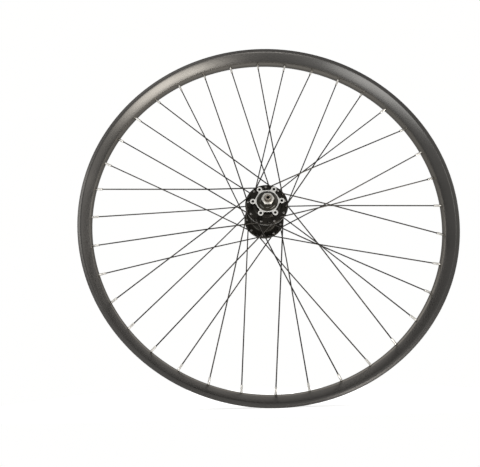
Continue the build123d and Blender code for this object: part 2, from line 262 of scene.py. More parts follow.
def turned(name, outline, steps):
    """A ring turned about the axle: a point is drawn round its closed outline and spun."""
    deselect()
    bpy.ops.mesh.primitive_plane_add(size=0.001, location=(0, outline[0][0], outline[0][1]))
    piece = named(bpy.context.object, name)
    settle()
    open_up()
    bpy.ops.mesh.merge(type="CENTER")
    for here, there in zip(outline, outline[1:] + outline[:1]):
        step = (0, there[0] - here[0], there[1] - here[1])
        bpy.ops.mesh.extrude_vertices_move(TRANSFORM_OT_translate={"value": step})
    bpy.ops.mesh.select_all(action="SELECT")
    bpy.ops.mesh.remove_doubles(threshold=SAME_POINT)
    bpy.ops.mesh.spin(steps=steps, angle=2 * pi, center=(0, 0, 0), axis=(0, 1, 0))
    bpy.ops.mesh.select_all(action="SELECT")
    bpy.ops.mesh.remove_doubles(threshold=SAME_POINT)
    close_up()
    return piece


def joined(pieces):
    """Several pieces as one."""
    choose(*pieces)
    if len(pieces) > 1:
        bpy.ops.object.join()
    return bpy.context.object


def ring(piece, count):
    """A piece and its copies, spaced evenly round the axle."""
    pieces = [piece]
    for number in range(1, count):
        choose(piece)
        bpy.ops.object.duplicate()
        twin = bpy.context.object
        twin.rotation_euler.y = radians(360 * number / count)
        settle()
        pieces.append(twin)
    return pieces


def drills(places, radius, depth):
    """Round bits to cut with, one at each (middle, direction)."""
    bits = []
    for middle, direction in places:
        deselect()
        turn = Vector(direction).to_track_quat("Z", "Y").to_euler()
        bpy.ops.mesh.primitive_cylinder_add(
            vertices=24, radius=radius, depth=depth, location=middle, rotation=turn
        )
        bits.append(bpy.context.object)
    return joined(bits)


def carve(piece, tool, operation="DIFFERENCE"):
    """Cuts a tool out of a piece, or keeps only what both share, and removes the tool."""
    choose(piece)
    bpy.ops.object.modifier_add(type="BOOLEAN")
    cut = piece.modifiers[-1]
    cut.operation = operation
    cut.solver = "EXACT"
    cut.object = tool
    bpy.ops.object.modifier_apply(modifier=cut.name)
    bpy.data.objects.remove(tool)


def soften(piece, width, angle):
    """Rounds the edges of a piece that turn by more than an angle in degrees."""
    choose(piece)
    bpy.ops.object.modifier_add(type="BEVEL")
    bevel = piece.modifiers[-1]
    bevel.width = width
    bevel.segments = 2
    bevel.limit_method = "ANGLE"
    bevel.angle_limit = radians(angle)
    bevel.use_clamp_overlap = True
    bpy.ops.object.modifier_apply(modifier=bevel.name)


def select_faces(piece, wanted):
    """Selects the faces that meet a test, and no others."""
    bpy.ops.mesh.select_mode(type="FACE")
    bpy.ops.mesh.select_all(action="DESELECT")
    mesh = bmesh.from_edit_mesh(piece.data)
    for face in mesh.faces:
        face.select_set(wanted(face))
    bmesh.update_edit_mesh(piece.data)


def smooth(piece, angle=32):
    """Shades a piece smooth, but for edges sharper than an angle in degrees."""
    choose(piece)
    bpy.ops.object.shade_smooth_by_angle(angle=radians(angle))


def dress(piece, *materials):
    piece.data.materials.clear()
    for material in materials:
        piece.data.materials.append(material)


def fitted(piece, body, replaced):
    """Sets a finished piece on its body, in place of a shape of the frame."""
    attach(piece, body)
    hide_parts(replaced)


# Finishes


def node(nodes, kind, **values):
    """A new shader node with values on its sockets."""
    new = nodes.new(f"ShaderNode{kind}")
    for socket, value in values.items():
        new.inputs[socket].default_value = value
    return new


def larger(nodes, links, first, second):
    """The larger of two values."""
    most = node(nodes, "Math")
    most.operation = "MAXIMUM"
    links.new(first, most.inputs[0])
    links.new(second, most.inputs[1])
    return most.outputs[0]


class Finish:
    """A material whose colour, roughness and bump come from textures in the piece's own space."""

    def __init__(self, name, metallic, specular=0.5, glint=(1.0, 1.0, 1.0)):
        self.material = bpy.data.materials.new(name)
        self.material.use_nodes = True
        self.nodes = self.material.node_tree.nodes
        self.links = self.material.node_tree.links
        self.shader = self.nodes["Principled BSDF"]
        self.shader.inputs["Metallic"].default_value = metallic
        self.shader.inputs["Specular IOR Level"].default_value = specular
        self.shader.inputs["Specular Tint"].default_value = (*glint, 1)
        self.place = node(self.nodes, "TexCoord").outputs["Object"]

    def clouds(self, scale, detail=4.0, place=None):
        """Soft patches."""
        noise = node(self.nodes, "TexNoise", Scale=scale, Detail=detail)
        self.links.new(place or self.place, noise.inputs["Vector"])
        return noise.outputs["Fac"]

    def ripples(self, scale):
        """Soft patches with less detail."""
        return self.clouds(scale, 2.0)

    def lines(self, scale):
        """Fine lines that run round the axle, as a lathe or a die leaves them."""
        radius, axial = self.from_axle()
        flat = node(self.nodes, "CombineXYZ")
        self.links.new(radius, flat.inputs["X"])
        self.links.new(axial, flat.inputs["Y"])
        return self.clouds(scale, 2.0, flat.outputs[0])

    def from_axle(self):
        """The distance from the axle, and the place along it."""
        split = node(self.nodes, "SeparateXYZ")
        across = node(self.nodes, "CombineXYZ")
        distance = node(self.nodes, "VectorMath")
        distance.operation = "LENGTH"
        self.links.new(self.place, split.inputs[0])
        self.links.new(split.outputs["X"], across.inputs["X"])
        self.links.new(split.outputs["Z"], across.inputs["Z"])
        self.links.new(across.outputs[0], distance.inputs[0])
        return distance.outputs["Value"], split.outputs["Y"]

    def span(self, fac, low, high, start=0.3, end=0.7):
        """From low to high as fac goes from start to end."""
        limits = {"From Min": start, "From Max": end, "To Min": low, "To Max": high}
        remap = node(self.nodes, "MapRange", **limits)
        self.links.new(fac, remap.inputs["Value"])
        return remap.outputs["Result"]

    def colour(self, fac, first, second, third=None):
        """From one colour to the next as fac rises."""
        ramp = node(self.nodes, "ValToRGB")
        stops = ramp.color_ramp.elements
        stops[0].position = 0.35
        stops[1].position = 0.68
        stops[0].color = (*first, 1)
        stops[1].color = (*second, 1)
        if third:
            stops.new(1.0).color = (*third, 1)
        self.links.new(fac, ramp.inputs["Fac"])
        self.links.new(ramp.outputs["Color"], self.shader.inputs["Base Color"])

    def rough(self, fac, low, high):
        self.links.new(self.span(fac, low, high), self.shader.inputs["Roughness"])

    def bump(self, fac, strength):
        """Fine relief, a tenth of a millimetre deep at full strength."""
        relief = node(self.nodes, "Bump", Strength=strength, Distance=0.0001)
        self.links.new(fac, relief.inputs["Height"])
        self.links.new(relief.outputs["Normal"], self.shader.inputs["Normal"])


def rim_anodising_with_painted_sheen(context):
    """Satin anodising, with a painted highlight that makes the curve of the bed paler."""
    colours = context.scene.wheel_colours
    bed = context.scene.rim_sizes.bed
    finish = Finish("rim_satin_anodising", metallic=1.0, glint=(0.45, 0.45, 0.45))
    radius, _axial = finish.from_axle()
    # Painted highlight: the bed's curve is paler, fading out between these two radii
    painted_sheen_full_to = bed + 0.0014
    painted_sheen_gone_from = bed + 0.0034
    painted_sheen = finish.span(radius, 1.0, 0.0, painted_sheen_full_to, painted_sheen_gone_from)
    # The drift carries both the random drifts in the anodising and the painted highlight on the bed
    drift = larger(finish.nodes, finish.links, finish.clouds(scale=9.0, detail=2.0), painted_sheen)
    finish.colour(drift, colours.rim, colours.rim_worn, colours.rim_bed_painted_sheen)
    finish.rough(finish.clouds(scale=22.0, detail=1.0), low=0.27, high=0.30)
    finish.bump(finish.lines(scale=1600.0), strength=0.02)
    return finish.material


def spoke_blacking(context):
    """Black with a brown cast in places."""
    colours = context.scene.wheel_colours
    finish = Finish("spoke_blacking", metallic=1.0, glint=(0.25, 0.25, 0.25))
    finish.colour(finish.clouds(scale=14.0), colours.wire, colours.wire_brown)
    finish.rough(finish.clouds(scale=140.0), low=0.26, high=0.38)
    finish.bump(finish.clouds(scale=2600.0), strength=0.04)
    return finish.material


CLOUDS = Finish.clouds
RIPPLES = Finish.ripples
LINES = Finish.lines

# By colour: material, metallic, then shades, roughness and relief, each with its texture and scale
MOTTLED = {
    "wire_head": ("spoke_head_steel", 1, 0.7, 1, CLOUDS, 600, 0.30, 0.45, CLOUDS, 900, 0.06, CLOUDS, 2600),
    "nickel": ("nipple_nickel_plate", 1, 0.8, 1, CLOUDS, 260, 0.18, 0.34, CLOUDS, 900, 0.05, CLOUDS, 3000),
    "hub": ("hub_gloss_black", 0, 0.7, 1.5, CLOUDS, 90, 0.16, 0.30, CLOUDS, 300, 0.05, RIPPLES, 1500),
    "hub_edge": ("flange_edge_satin", 1, 0.75, 1.2, CLOUDS, 160, 0.22, 0.34, CLOUDS, 500, 0.05, LINES, 5200),
    "machined": ("rotor_ring_machined", 1, 0.82, 1, LINES, 5200, 0.34, 0.46, CLOUDS, 500, 0.12, LINES, 7000),
    "cap": ("dust_cap_polish", 0, 0.7, 1.4, CLOUDS, 120, 0.07, 0.12, CLOUDS, 420, 0.03, RIPPLES, 1300),
    "nut": ("locknut_plate", 1, 0.78, 1.08, CLOUDS, 420, 0.42, 0.56, CLOUDS, 800, 0.10, LINES, 4200),
    "axle": ("axle_turned_steel", 0.9, 0.7, 1.15, CLOUDS, 700, 0.34, 0.52, CLOUDS, 900, 0.15, LINES, 4800),
    "bearing": ("bearing_ground_steel", 1, 0.85, 1, CLOUDS, 500, 0.12, 0.24, LINES, 6000, 0.06, LINES, 9000),
    "rubber": ("seal_rubber", 0, 0.8, 1.6, CLOUDS, 600, 0.55, 0.75, CLOUDS, 900, 0.12, CLOUDS, 2500),
    "cage": ("cage_moulding", 0, 0.9, 1.05, CLOUDS, 500, 0.4, 0.55, CLOUDS, 900, 0.08, CLOUDS, 2800),
    "spacer": ("spacer_anodising", 0.6, 0.8, 1.5, CLOUDS, 300, 0.32, 0.48, CLOUDS, 700, 0.1, LINES, 4200),
}

# The reflection's strength and colour, where a finish has its own
GLOSS = {"hub": (0.14, (1.0, 0.94, 0.82)), "cap": (0.17, (1.0, 0.97, 0.90))}


def mottled(context, kind):
    """A finish from the table."""
    name, metallic, dark, light, drift, drift_scale, *rest = MOTTLED[kind]
    low, high, haze, haze_scale, strength, relief, relief_scale = rest
    finish = Finish(name, metallic, *GLOSS.get(kind, ()))
    colour = getattr(context.scene.wheel_colours, kind)
    shades = [[min(1.0, channel * share) for channel in colour] for share in (dark, light)]
    finish.colour(drift(finish, drift_scale), *shades)
    finish.rough(haze(finish, haze_scale), low, high)
    finish.bump(relief(finish, relief_scale), strength)
    return finish.material


# Lacing, the same as in the frame


def spoke_corners(index, scene):
    """The spoke's centre line: the head's seat, the elbow, the outer crossing and the tip."""
    rim = scene.rim_sizes
    spoke = scene.spoke_sizes
    hub = scene.hub_sizes
    pitch = 360 / spoke.count
    lace = spoke.crosses * 2 * pitch
    side = -1 if index % 2 == 0 else 1
    lean = 1 if index % LACINGS in (0, 3) else -1
    runs_outside = lean == -side
    flange = hub.disc_flange if side < 0 else hub.plain_flange
    outside = flange + hub.flange_half + spoke.gap_outside + spoke.wire
    inside = flange - hub.flange_half - spoke.gap_inside - spoke.wire
    head_sign = -1 if runs_outside else 1
    head_place = flange + head_sign * (hub.flange_half + spoke.head_gap)
    rim_angle = index * pitch
    hub_angle = rim_angle + lean * lace
    bed_middle = rim.bed + rim.bed_wall / 2
    rise = tan(radians(pitch))
    across = hub.hole_ring * sin(radians(lace))
    along = hub.hole_ring * cos(radians(lace))
    share = bed_middle * rise / (across + rise * (bed_middle - along))
    crossing_radius = hypot(bed_middle + share * (along - bed_middle), share * across)
    crossing_place = share * (outside + inside) / 2 + head_sign * (spoke.wire + spoke.weave_gap / 2)
    head = polar(hub.hole_ring, hub_angle, side * head_place)
    elbow = polar(hub.hole_ring, hub_angle, side * (outside if runs_outside else inside))
    crossing = polar(crossing_radius, rim_angle + lean * pitch, side * crossing_place)
    rim_point = polar(bed_middle, rim_angle, 0)
    tip = rim_point + (rim_point - crossing).normalized() * (rim.bed_wall / 2 + spoke.seat_gap)
    return head, elbow, crossing, tip


def draw_out(step):
    """Draws the selected end of a wire on by a step."""
    bpy.ops.mesh.extrude_region_move(TRANSFORM_OT_translate={"value": step})


def bend(before, corner, after, radius, steps):
    """Turns the selected end of a wire round a corner and returns where the bend ends."""
    inward = (corner - before).normalized()
    outward = (after - corner).normalized()
    angle = inward.angle(outward)
    reach = radius * tan(angle / 2)
    start = corner - inward * reach
    draw_out(start - before)
    middle = start + (outward - inward * inward.dot(outward)).normalized() * radius
    bpy.ops.mesh.spin(steps=steps, angle=angle, center=middle, axis=outward.cross(inward).normalized())
    return corner + outward * reach


class WHEEL_OT_rim(bpy.types.Operator):
    """Spins the rim's section, rounds its edges and drills it for nipples and valve"""

    bl_idname = "wheel.rim"
    bl_label = "Rim"

    def execute(self, context):
        rim = context.scene.rim_sizes
        shell, hollow = self.sections(rim)
        hoop = turned("rim_hoop", rounded(shell), rim.steps)
        chamber = turned("rim_chamber", rounded(hollow, segments=2), rim.steps)
        choose(chamber)
        open_up()
        bpy.ops.mesh.flip_normals()
        bpy.ops.object.mode_set(mode="OBJECT")
        hoop = joined([hoop, chamber])
        carve(hoop, self.bits(rim, context.scene.spoke_sizes.count))
        smooth(hoop)
        dress(hoop, rim_anodising_with_painted_sheen(context))
        fitted(hoop, "wheel", "rim")
        return {"FINISHED"}

    def on_bed(self, rim, angle):
        """A point of the bed's curve, at an angle from its middle."""
        return Vector((rim.bed_curve * sin(angle), rim.bed + rim.bed_curve * (1 - cos(angle))))

    def sections(self, rim):
        """The corners of the rim's section and of the hollow in it."""
        mouth = rim.half_width - rim.lip
        shelf = mouth - rim.shelf
        well = shelf - rim.well_slope
        bead = rim.outer - rim.bead_drop
        well_floor = bead - rim.well_drop
        foot = rim.outer - rim.side_height
        tilt = rim.bed_half_angle
        bed_edge = self.on_bed(rim, tilt)
        chord = Vector((rim.half_width, foot)) - bed_edge
        turn = Vector((cos(tilt), sin(tilt))).angle(chord)
        slope_radius = chord.length / (2 * sin(turn))
        slope_middle = bed_edge + Vector((-sin(tilt), cos(tilt))) * slope_radius
        well_round = 0.001
        half = [
            (well, well_floor, well_round),
            (shelf, bead, well_round),
            (mouth, bead, rim.edge),
            (mouth, rim.outer, rim.edge),
            (rim.half_width, rim.outer, rim.edge),
            (rim.half_width, foot, rim.side_round),
        ]
        slope_steps = 5
        for step in range(1, slope_steps + 1):
            angle = tilt + 2 * turn * (1 - step / slope_steps)
            point = slope_middle + Vector((sin(angle), -cos(angle))) * slope_radius
            half.append((point.x, point.y, 0))
        bed_steps = 6
        for step in range(1, bed_steps):
            half.append((*self.on_bed(rim, tilt * (1 - step / bed_steps)), 0))
        shell = half + [(0, rim.bed, 0)] + mirrored(half)
        wall = rim.bridge_wall
        chamber_round = 0.0008
        half = [
            (rim.chamber_floor / 2, rim.bed + rim.bed_wall, chamber_round),
            (mouth - rim.lip - wall, bead - wall, chamber_round),
            (shelf - wall / 2, bead - wall, chamber_round),
            (well - wall / 2, well_floor - wall, chamber_round),
        ]
        return shell, half + mirrored(half)

    def bits(self, rim, count):
        """Drills for the nipples, the access holes over them and the valve between two spokes."""
        well_floor = rim.outer - rim.bead_drop - rim.well_drop
        pitch = 360 / count
        spokes = [polar(1, index * pitch, 0) for index in range(count)]
        valve = [polar(1, 180 - pitch / 2, 0)]
        margin = 0.002
        valve_depth = 0.014
        holes = (
            (spokes, rim.bed + rim.bed_wall / 2, rim.nipple_hole, rim.bed_wall + margin),
            (spokes, well_floor - rim.bridge_wall / 2, rim.access_hole, rim.bridge_wall + margin),
            (valve, (rim.bed + well_floor) / 2, rim.valve_hole, valve_depth),
        )
        bits = []
        for lines, middle, radius, depth in holes:
            bits.append(drills([(line * middle, line) for line in lines], radius, depth))
        return joined(bits)


class WHEEL_OT_spokes(bpy.types.Operator):
    """Draws one spoke of each lacing with its head, elbow and bend, and copies it round the wheel"""

    bl_idname = "wheel.spokes"
    bl_label = "Spokes"

    def execute(self, context):
        spoke = context.scene.spoke_sizes
        finishes = (spoke_blacking(context), mottled(context, "wire_head"))
        head_reach = 1.1 * spoke.head
        for first in range(LACINGS):
            head, elbow, crossing, tip = spoke_corners(first, context.scene)
            inward = (elbow - head).normalized()
            top = head - inward * spoke.head_height
            wire = self.head(top, inward, spoke)
            at = bend(head, elbow, crossing, spoke.elbow, steps=7)
            at = bend(at, crossing, tip, spoke.weave, steps=4)
            draw_out(tip - at)
            close_up()
            smooth(wire, angle=40)
            dress(wire, *finishes)
            for face in wire.data.polygons:
                if (face.center - top).length < head_reach:
                    face.material_index = 1
            for copy, piece in enumerate(ring(wire, spoke.count // LACINGS)):
                number = first + LACINGS * copy + 1
                named(piece, f"laced_spoke_{number:02d}")
                fitted(piece, "wheel", f"spoke_{number:02d}")
        return {"FINISHED"}

    def head(self, top, inward, spoke):
        """The domed head, left in edit mode for the wire to be drawn on from it."""
        crown = 0.45
        deselect()
        bpy.ops.mesh.primitive_circle_add(
            vertices=14, radius=spoke.head * crown, fill_type="NGON", location=top, rotation=(pi / 2, 0, 0)
        )
        wire = bpy.context.object
        settle()
        open_up()
        at = top
        width = crown
        dome = ((0.10, 0.72), (0.26, 0.90), (0.50, 1.0), (0.90, 1.0), (1.0, 0.94))
        for depth, grown in (*dome, (1.0, spoke.wire / spoke.head)):
            there = top + inward * (depth * spoke.head_height)
            draw_out(there - at)
            size = grown / width
            bpy.ops.transform.resize(value=(size, size, size), center_override=there)
            at = there
            width = grown
        return wire


class WHEEL_OT_nipples(bpy.types.Operator):
    """Turns one nipple, mills its flats and sets a copy on every spoke"""

    bl_idname = "wheel.nipples"
    bl_label = "Nipples"

    def execute(self, context):
        rim = context.scene.rim_sizes
        spoke = context.scene.spoke_sizes
        pattern = self.pattern(rim, spoke)
        smooth(pattern, angle=38)
        dress(pattern, mottled(context, "nickel"))
        copies = []
        for index in range(spoke.count):
            _head, _elbow, crossing, tip = spoke_corners(index, context.scene)
            inward = (crossing - tip).normalized()
            sideways = inward.cross((0, 1, 0)).normalized()
            turn = Matrix((sideways, inward, sideways.cross(inward))).transposed()
            choose(pattern)
            bpy.ops.object.duplicate()
            twin = bpy.context.object
            twin.matrix_world = Matrix.Translation(tip) @ turn.to_4x4()
            settle()
            copies.append(twin)
        bpy.data.objects.remove(pattern)
        nipples = named(joined(copies), "nipples")
        fitted(nipples, "wheel", "spoke_nipples")
        return {"FINISHED"}

    def pattern(self, rim, spoke):
        """One nipple along the axle's direction, its seat at the origin."""
        end = rim.bed_wall / 2 + spoke.seat_gap + spoke.nipple_reach
        bore = spoke.wire * 1.06
        crown = spoke.nipple_head * 0.45
        seat = spoke.nipple_head * 0.12
        cone = 0.0004
        tip = spoke.nipple * 0.2
        corners = [
            (-spoke.nipple_head_height, bore, 0),
            (-spoke.nipple_head_height, spoke.nipple_head, crown),
            (0, spoke.nipple_head, seat),
            (cone, spoke.nipple, 0),
            (end, spoke.nipple, tip),
            (end, bore, 0),
        ]
        pattern = turned("nipple_pattern", rounded(corners, segments=3), 20)
        flats = []
        flat_length = end * 0.62
        block = spoke.nipple
        for angle in (0, 90, 180, 270):
            deselect()
            bpy.ops.mesh.primitive_cube_add(
                size=1,
                location=polar(spoke.nipple_flats + block / 2, angle, end - flat_length / 2 + block / 2),
                rotation=(0, radians(angle), 0),
                scale=(3 * block, flat_length + block, block),
            )
            flats.append(bpy.context.object)
        carve(pattern, joined(flats))
        return pattern


class WHEEL_OT_hub(bpy.types.Operator):
    """Turns the hub's shell, drills its flanges and adds the rotor's ears"""

    bl_idname = "wheel.hub"
    bl_label = "Hub shell"

    def execute(self, context):
        hub = context.scene.hub_sizes
        spoke = context.scene.spoke_sizes
        shell = turned("hub_forging", rounded(self.section(hub)), 120)
        flanges = (-hub.disc_flange, hub.plain_flange)
        holes = []
        for index in range(spoke.count):
            middle = polar(hub.hole_ring, index * 360 / spoke.count, flanges[index % 2])
            holes.append((middle, (0, 1, 0)))
        carve(shell, drills(holes, hub.spoke_hole, 4 * hub.flange_half))
        shell = joined([shell] + ring(self.ear(hub), EARS))
        smooth(shell)
        dress(shell, *[mottled(context, kind) for kind in ("hub", "machined", "hub_edge")])
        facing = 0.0011
        edge = 0.0008
        for face in shell.data.polygons:
            radius = hypot(face.center.x, face.center.z)
            if face.center.y < -hub.rotor_face + facing and radius > hub.cap_bore:
                face.material_index = 1
            elif radius > hub.flange - edge:
                face.material_index = 2
        fitted(shell, "wheel", "hub_shell")
        return {"FINISHED"}

    def section(self, hub):
        """The shell's section, over both flanges and back through the bore."""
        outer_fillet = 0.0012
        inner_fillet = 0.004
        shoulder = 0.0036
        step = 0.0012
        swell = 0.008
        barrel_round = 0.006
        disc = -hub.disc_flange
        plain = hub.plain_flange
        width = hub.flange_half
        return [
            (-hub.rotor_face, hub.neck, 0.0003),
            (disc - width - shoulder, hub.neck, 0.0012),
            *self.flange(hub, disc, outer_fillet, inner_fillet),
            (disc + width + swell, hub.barrel, barrel_round),
            (plain - width - swell, hub.barrel, barrel_round),
            *self.flange(hub, plain, inner_fillet, outer_fillet),
            (plain + width + step, hub.neck, 0),
            (hub.plain_face, hub.neck, 0.0004),
            *self.seats(hub, hub.plain_face),
            *mirrored(self.seats(hub, hub.rotor_face)),
        ]

    def flange(self, hub, middle, before, after):
        """One flange, with a tapered edge and a fillet before and after it."""
        root = 0.0215
        edge = hub.flange - 0.0026
        taper = 0.0007
        left = middle - hub.flange_half
        right = middle + hub.flange_half
        return [
            (left, root, before),
            (left, edge, 0.0008),
            (left + taper, hub.flange, 0.0005),
            (right - taper, hub.flange, 0.0005),
            (right, edge, 0.0008),
            (right, root, after),
        ]

    def seats(self, hub, face):
        """The seats of a cap and a bearing, from the hub's face in to the bore."""
        cap_seat = face - hub.cap_seat
        bearing_seat = cap_seat - hub.bearing_depth
        return [
            (face, hub.cap_bore, 0.0002),
            (cap_seat, hub.cap_bore, 0),
            (cap_seat, hub.bearing_seat, 0),
            (bearing_seat, hub.bearing_seat, 0),
            (bearing_seat, hub.bore, 0),
        ]

    def ear(self, hub):
        """One ear: a round end with its bolt hole, drawn in to the hub on a neck that widens."""
        middle = Vector((0, -hub.rotor_face + hub.ear_depth / 2, hub.bolt_ring))
        deselect()
        bpy.ops.mesh.primitive_cylinder_add(
            vertices=40, radius=hub.ear, depth=hub.ear_depth, location=middle, rotation=(pi / 2, 0, 0)
        )
        ear = bpy.context.object
        settle()
        open_up()
        select_faces(ear, lambda face: abs(face.normal.y) > 0.9)
        bpy.ops.mesh.inset(thickness=hub.ear - hub.tap)
        bpy.ops.mesh.bridge_edge_loops()
        half_neck = hub.ear_neck / hub.ear
        select_faces(
            ear,
            lambda face: face.normal.z < -0.1
            and abs(face.normal.x) < half_neck
            and face.calc_center_median().z < hub.bolt_ring - hub.tap * 1.1
            and abs(face.normal.y) < 0.1,
        )
        sunk = 0.0006
        root = hub.neck - sunk
        draw_out((0, 0, root - hub.bolt_ring + hub.ear))
        spread = hub.ear_root / hub.ear_neck
        bpy.ops.transform.resize(value=(spread, 1, 0), center_override=(0, middle.y, root))
        close_up()
        soften(ear, width=0.0003, angle=50)
        ear.rotation_euler.y = radians(180 / EARS)
        choose(ear)
        settle()
        return ear


class WHEEL_OT_dust_caps(bpy.types.Operator):
    """Turns the domed cap at each end of the hub"""

    bl_idname = "wheel.dust_caps"
    bl_label = "Dust caps"

    def execute(self, context):
        hub = context.scene.hub_sizes
        polish = mottled(context, "cap")
        for (side, sign), face in zip(SIDES, (hub.rotor_face, hub.plain_face)):
            outline = [(sign * axial, radius) for axial, radius in self.section(hub, face)]
            cap = turned(f"dust_cap_dome_{side}", outline, 72)
            smooth(cap, angle=40)
            dress(cap, polish)
            fitted(cap, "wheel", f"dust_cap_{side}")
        return {"FINISHED"}

    def section(self, hub, face):
        """The dome, its underside and its foot in the hub."""
        clearance = 0.00005
        sunk = 0.0005
        roundness = 0.55
        wall = 0.0013
        steps = 12
        outer = hub.cap_bore - clearance
        span = outer - hub.cap_hole
        edge = face - sunk
        top = face + hub.cap_rise
        dome = []
        under = []
        for step in range(steps + 1):
            angle = pi / 2 * step / steps
            curved = span * (1 - cos(angle)) * roundness
            straight = span * (1 - roundness) * step / steps
            radius = outer - curved - straight
            rise = edge + (top - edge) * sin(angle)
            dome.append((rise, radius))
            under.append((rise - wall, max(hub.cap_hole, radius - wall * cos(angle))))
        foot = face - hub.cap_seat
        return dome + under[::-1] + [(foot, outer - wall), (foot, outer)]


class WHEEL_OT_locknuts(bpy.types.Operator):
    """Makes a chamfered hexagon with a recess round the axle at each end"""

    bl_idname = "wheel.locknuts"
    bl_label = "Locknuts"

    def execute(self, context):
        hub = context.scene.hub_sizes
        plate = mottled(context, "nut")
        base = hub.nut_face - hub.nut_width
        recess = hub.nut_face - hub.nut_recess_depth
        blank = 0.0105
        shoulder = 0.0079
        bore = 0.00505
        chamfer = (blank - shoulder) * tan(radians(35))
        section = [
            (base, bore),
            (base, blank),
            (hub.nut_face - chamfer, blank),
            (hub.nut_face, shoulder),
            (hub.nut_face, hub.nut_recess),
            (recess, hub.nut_recess),
            (recess, bore),
        ]
        for side, sign in SIDES:
            deselect()
            bpy.ops.mesh.primitive_cylinder_add(
                vertices=6,
                radius=hub.nut_flat / cos(pi / 6),
                depth=hub.nut_width,
                location=(0, sign * (base + hub.nut_face) / 2, 0),
                rotation=(pi / 2, pi / 6, 0),
            )
            nut = named(bpy.context.object, f"hex_locknut_{side}")
            settle()
            outline = [(sign * axial, radius) for axial, radius in section]
            carve(nut, turned("nut_blank", outline, 64), "INTERSECT")
            soften(nut, width=0.00022, angle=35)
            smooth(nut)
            dress(nut, plate)
            fitted(nut, "axle", f"locknut_{side}")
        return {"FINISHED"}


class WHEEL_OT_axle(bpy.types.Operator):
    """Turns the hollow axle with its slim ends"""

    bl_idname = "wheel.axle"
    bl_label = "Axle"

    def execute(self, context):
        hub = context.scene.hub_sizes
        corners = mirrored(self.half(hub, hub.rotor_face)) + self.half(hub, hub.plain_face)
        shaft = turned("axle_shaft", rounded(corners), 48)
        smooth(shaft)
        dress(shaft, mottled(context, "axle"))
        fitted(shaft, "axle", "axle")
        return {"FINISHED"}

    def half(self, hub, face):
        """Half of the shaft's section, from the collar at the bearing out to the tip."""
        collar = 0.0065
        seat = face - hub.cap_seat - hub.bearing_depth
        thread = hub.nut_face - hub.nut_recess_depth
        return [
            (seat, collar, 0.0003),
            (seat, hub.axle, 0),
            (thread, hub.axle, 0.0003),
            (thread, hub.axle_end, 0),
            (hub.axle_tip, hub.axle_end, 0.0005),
            (hub.axle_tip, hub.skewer, 0.0004),
        ]


class WHEEL_OT_bearings(bpy.types.Operator):
    """Finishes the bearings and spacers inside the hub, which keep the frame's own shapes"""

    bl_idname = "wheel.bearings"
    bl_label = "Bearings and spacers"

    def execute(self, context):
        steel = mottled(context, "bearing")
        finishes = {
            "bearing_outer_ring": steel,
            "bearing_inner_ring": steel,
            "bearing_balls": steel,
            "bearing_seals": mottled(context, "rubber"),
            "bearing_cage": mottled(context, "cage"),
            "axle_spacer": mottled(context, "spacer"),
        }
        for side, _sign in SIDES:
            for kind, material in finishes.items():
                dress(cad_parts[f"{kind}_{side}"], material)
        return {"FINISHED"}


# Stage

# The picture's size, the focal length and the point on the camera's axis, in pixels
PICTURE_WIDTH = 480
PICTURE_HEIGHT = 467
FOCAL_LENGTH = 435.9
AXIS_X = 226.71
AXIS_Y = 248.86

# Where the camera stands, and its directions
CAMERA_PLACE = (-0.0550, -0.6608, -0.2522)
CAMERA_FORWARD = (-0.0135, 0.9604, 0.2782)
CAMERA_UP = (0.0318, -0.2777, 0.9601)
SENSOR_WIDTH = 36

# The floor's size, and how far its middle lies behind the wheel
FLOOR_SIZE = (1.6, 1.0, 1.0)
FLOOR_BACK = 0.36

# The white that the camera and reflections see, the floor's paint and the light of the surround
WHITE = (1, 1, 0.995, 1)
FLOOR_PAINT = (0.55, 0.55, 0.547, 1)
FLOOR_GLOW = 0.82
FILL_COLOUR = (1.0, 0.99, 0.98, 1)
FILL_STRENGTH = 0.5

# Lamp colours
AMBER = (1.0, 0.978, 0.925)
WARM = (1.0, 0.98, 0.95)
SOFT_WARM = (1.0, 0.98, 0.96)
NEUTRAL = (1.0, 0.99, 0.98)
DAYLIGHT = (0.99, 1.0, 1.0)
COOL = (0.95, 0.98, 1.0)

# Soft lamps: name, place, what they point at, width and height, watts and colour
LAMPS = (
    ("low_right_wide", (1.07, -0.50, -0.96), (-0.17, 0, 0.24), (1.25, 1.75), 24.0, AMBER),
    ("low_right_core", (1.05, -0.50, -0.94), (-0.17, 0, 0.24), (0.58, 1.20), 18.0, AMBER),
    ("low_left_soft", (-1.07, -0.91, -0.70), (0.19, 0, 0.21), (0.84, 1.30), 17.0, COOL),
    ("front_left_soft", (-0.86, -1.59, 0.60), (-0.29, 0, 0), (0.60, 0.40), 3.2, DAYLIGHT),
    ("high_left_soft", (-0.42, -1.60, 1.43), (-0.20, 0, 0.20), (0.85, 0.5), 1.7, DAYLIGHT),
    ("front_right_soft", (0.60, -1.74, -0.34), (0.1, 0, -0.27), (0.40, 0.40), 2.9, SOFT_WARM),
    ("below_camera_soft", (0.05, -1.0, -0.58), (0, 0, 0), (0.42, 0.42), 3.6, NEUTRAL),
    ("right_side_soft", (1.10, -0.38, 0.50), (-0.29, 0, 0), (1.2, 1.2), 3.0, WARM),
    ("right_edge_soft", (1.00, 0.24, 0.60), (-0.28, 0, 0), (0.5, 1.0), 1.9, WARM),
    ("left_edge_soft", (-0.85, 0.22, 0.74), (0.28, 0, -0.08), (0.45, 0.8), 1.2, SOFT_WARM),
    ("high_behind_soft", (0, 0.95, 1.50), (0, 0, -0.28), (2.4, 1.5), 11.0, SOFT_WARM),
)


